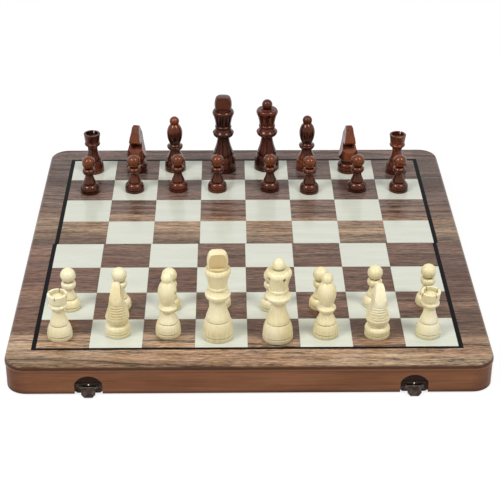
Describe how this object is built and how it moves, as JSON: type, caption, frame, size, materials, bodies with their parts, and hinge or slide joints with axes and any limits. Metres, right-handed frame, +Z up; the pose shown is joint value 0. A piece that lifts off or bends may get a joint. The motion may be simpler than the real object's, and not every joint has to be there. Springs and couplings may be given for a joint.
{
  "type": "folding chess box",
  "caption": "Folding wooden chess box, opened flat as a board on its hinged halves, with latches, storage trays and a full set of standing men.",
  "frame": {"origin": "on the ground under the middle of the fold, in the middle of the opened box's footprint", "axes": "+X along the fold to the right, +Y from the fold to the rear half, +Z up out of the playing surface"},
  "size_m": [0.377, 0.3849, 0.1022],
  "materials": {
    "walnut_border": "satin",
    "walnut_squares": "satin",
    "maple_squares": "satin",
    "black_line": "satin",
    "stained_case": "satin",
    "felt": "matte",
    "antique_bronze": "aged",
    "bright_steel": "bright",
    "light_men": "satin",
    "dark_men": "glossy"
  },
  "bodies": {
    "rear_half": {"rear_top_panel": "walnut_border", "rear_dark_squares": "walnut_squares", "rear_light_squares": "maple_squares", "rear_inlay_line": "black_line", "rear_outer_wall": "stained_case", "rear_side_walls": "stained_case", "rear_spine_wall": "stained_case", "rear_felt_lining": "felt", "rear_screws": "antique_bronze", "hinge_leaves_rear": "antique_bronze", "hinge_pins": "bright_steel", "catch_plates": "antique_bronze"},
    "front_half": {"front_top_panel": "walnut_border", "front_dark_squares": "walnut_squares", "front_light_squares": "maple_squares", "front_inlay_line": "black_line", "front_outer_wall": "stained_case", "front_side_walls": "stained_case", "front_spine_wall": "stained_case", "front_felt_lining": "felt", "front_screws": "antique_bronze", "hinge_leaves_front": "antique_bronze", "latch_plate_left": "antique_bronze", "latch_plate_right": "antique_bronze", "latch_pins": "bright_steel", "latch_nails": "bright_steel"},
    "flap_left": {"latch_flap_left": "antique_bronze"},
    "flap_right": {"latch_flap_right": "antique_bronze"},
    "light_king": {"light_king": "light_men"},
    "light_queen": {"light_queen": "light_men"},
    "light_bishop_c": {"light_bishop_c": "light_men"},
    "light_bishop_f": {"light_bishop_f": "light_men"},
    "light_knight_b": {"light_knight_b": "light_men"},
    "light_knight_g": {"light_knight_g": "light_men"},
    "light_rook_a": {"light_rook_a": "light_men"},
    "light_rook_h": {"light_rook_h": "light_men"},
    "light_pawn_a": {"light_pawn_a": "light_men"},
    "light_pawn_b": {"light_pawn_b": "light_men"},
    "light_pawn_c": {"light_pawn_c": "light_men"},
    "light_pawn_d": {"light_pawn_d": "light_men"},
    "light_pawn_e": {"light_pawn_e": "light_men"},
    "light_pawn_f": {"light_pawn_f": "light_men"},
    "light_pawn_g": {"light_pawn_g": "light_men"},
    "light_pawn_h": {"light_pawn_h": "light_men"},
    "dark_king": {"dark_king": "dark_men"},
    "dark_queen": {"dark_queen": "dark_men"},
    "dark_bishop_c": {"dark_bishop_c": "dark_men"},
    "dark_bishop_f": {"dark_bishop_f": "dark_men"},
    "dark_knight_b": {"dark_knight_b": "dark_men"},
    "dark_knight_g": {"dark_knight_g": "dark_men"},
    "dark_rook_a": {"dark_rook_a": "dark_men"},
    "dark_rook_h": {"dark_rook_h": "dark_men"},
    "dark_pawn_a": {"dark_pawn_a": "dark_men"},
    "dark_pawn_b": {"dark_pawn_b": "dark_men"},
    "dark_pawn_c": {"dark_pawn_c": "dark_men"},
    "dark_pawn_d": {"dark_pawn_d": "dark_men"},
    "dark_pawn_e": {"dark_pawn_e": "dark_men"},
    "dark_pawn_f": {"dark_pawn_f": "dark_men"},
    "dark_pawn_g": {"dark_pawn_g": "dark_men"},
    "dark_pawn_h": {"dark_pawn_h": "dark_men"}
  },
  "joints": [
    {"name": "fold", "type": "hinge", "parent": "rear_half", "child": "front_half", "pos_m": [0, 0, 0.00125], "axis": [1, 0, 0], "range_deg": [0, 180]},
    {"name": "flap_left_swing", "type": "hinge", "parent": "front_half", "child": "flap_left", "pos_m": [-0.1237, -0.189, 0.00575], "axis": [-1, 0, 0], "range_deg": [-44, 66]},
    {"name": "flap_right_swing", "type": "hinge", "parent": "front_half", "child": "flap_right", "pos_m": [0.1263, -0.189, 0.00575], "axis": [-1, 0, 0], "range_deg": [-44, 66]},
    {"name": "lift_light_king", "type": "slide", "parent": "front_half", "child": "light_king", "axis": [0, 0, 1], "range_m": [0, 0.1]},
    {"name": "lift_light_queen", "type": "slide", "parent": "front_half", "child": "light_queen", "axis": [0, 0, 1], "range_m": [0, 0.1]},
    {"name": "lift_light_bishop_c", "type": "slide", "parent": "front_half", "child": "light_bishop_c", "axis": [0, 0, 1], "range_m": [0, 0.1]},
    {"name": "lift_light_bishop_f", "type": "slide", "parent": "front_half", "child": "light_bishop_f", "axis": [0, 0, 1], "range_m": [0, 0.1]},
    {"name": "lift_light_knight_b", "type": "slide", "parent": "front_half", "child": "light_knight_b", "axis": [0, 0, 1], "range_m": [0, 0.1]},
    {"name": "lift_light_knight_g", "type": "slide", "parent": "front_half", "child": "light_knight_g", "axis": [0, 0, 1], "range_m": [0, 0.1]},
    {"name": "lift_light_rook_a", "type": "slide", "parent": "front_half", "child": "light_rook_a", "axis": [0, 0, 1], "range_m": [0, 0.1]},
    {"name": "lift_light_rook_h", "type": "slide", "parent": "front_half", "child": "light_rook_h", "axis": [0, 0, 1], "range_m": [0, 0.1]},
    {"name": "lift_light_pawn_a", "type": "slide", "parent": "front_half", "child": "light_pawn_a", "axis": [0, 0, 1], "range_m": [0, 0.1]},
    {"name": "lift_light_pawn_b", "type": "slide", "parent": "front_half", "child": "light_pawn_b", "axis": [0, 0, 1], "range_m": [0, 0.1]},
    {"name": "lift_light_pawn_c", "type": "slide", "parent": "front_half", "child": "light_pawn_c", "axis": [0, 0, 1], "range_m": [0, 0.1]},
    {"name": "lift_light_pawn_d", "type": "slide", "parent": "front_half", "child": "light_pawn_d", "axis": [0, 0, 1], "range_m": [0, 0.1]},
    {"name": "lift_light_pawn_e", "type": "slide", "parent": "front_half", "child": "light_pawn_e", "axis": [0, 0, 1], "range_m": [0, 0.1]},
    {"name": "lift_light_pawn_f", "type": "slide", "parent": "front_half", "child": "light_pawn_f", "axis": [0, 0, 1], "range_m": [0, 0.1]},
    {"name": "lift_light_pawn_g", "type": "slide", "parent": "front_half", "child": "light_pawn_g", "axis": [0, 0, 1], "range_m": [0, 0.1]},
    {"name": "lift_light_pawn_h", "type": "slide", "parent": "front_half", "child": "light_pawn_h", "axis": [0, 0, 1], "range_m": [0, 0.1]},
    {"name": "lift_dark_king", "type": "slide", "parent": "rear_half", "child": "dark_king", "axis": [0, 0, 1], "range_m": [0, 0.1]},
    {"name": "lift_dark_queen", "type": "slide", "parent": "rear_half", "child": "dark_queen", "axis": [0, 0, 1], "range_m": [0, 0.1]},
    {"name": "lift_dark_bishop_c", "type": "slide", "parent": "rear_half", "child": "dark_bishop_c", "axis": [0, 0, 1], "range_m": [0, 0.1]},
    {"name": "lift_dark_bishop_f", "type": "slide", "parent": "rear_half", "child": "dark_bishop_f", "axis": [0, 0, 1], "range_m": [0, 0.1]},
    {"name": "lift_dark_knight_b", "type": "slide", "parent": "rear_half", "child": "dark_knight_b", "axis": [0, 0, 1], "range_m": [0, 0.1]},
    {"name": "lift_dark_knight_g", "type": "slide", "parent": "rear_half", "child": "dark_knight_g", "axis": [0, 0, 1], "range_m": [0, 0.1]},
    {"name": "lift_dark_rook_a", "type": "slide", "parent": "rear_half", "child": "dark_rook_a", "axis": [0, 0, 1], "range_m": [0, 0.1]},
    {"name": "lift_dark_rook_h", "type": "slide", "parent": "rear_half", "child": "dark_rook_h", "axis": [0, 0, 1], "range_m": [0, 0.1]},
    {"name": "lift_dark_pawn_a", "type": "slide", "parent": "rear_half", "child": "dark_pawn_a", "axis": [0, 0, 1], "range_m": [0, 0.1]},
    {"name": "lift_dark_pawn_b", "type": "slide", "parent": "rear_half", "child": "dark_pawn_b", "axis": [0, 0, 1], "range_m": [0, 0.1]},
    {"name": "lift_dark_pawn_c", "type": "slide", "parent": "rear_half", "child": "dark_pawn_c", "axis": [0, 0, 1], "range_m": [0, 0.1]},
    {"name": "lift_dark_pawn_d", "type": "slide", "parent": "rear_half", "child": "dark_pawn_d", "axis": [0, 0, 1], "range_m": [0, 0.1]},
    {"name": "lift_dark_pawn_e", "type": "slide", "parent": "rear_half", "child": "dark_pawn_e", "axis": [0, 0, 1], "range_m": [0, 0.1]},
    {"name": "lift_dark_pawn_f", "type": "slide", "parent": "rear_half", "child": "dark_pawn_f", "axis": [0, 0, 1], "range_m": [0, 0.1]},
    {"name": "lift_dark_pawn_g", "type": "slide", "parent": "rear_half", "child": "dark_pawn_g", "axis": [0, 0, 1], "range_m": [0, 0.1]},
    {"name": "lift_dark_pawn_h", "type": "slide", "parent": "rear_half", "child": "dark_pawn_h", "axis": [0, 0, 1], "range_m": [0, 0.1]}
  ]
}
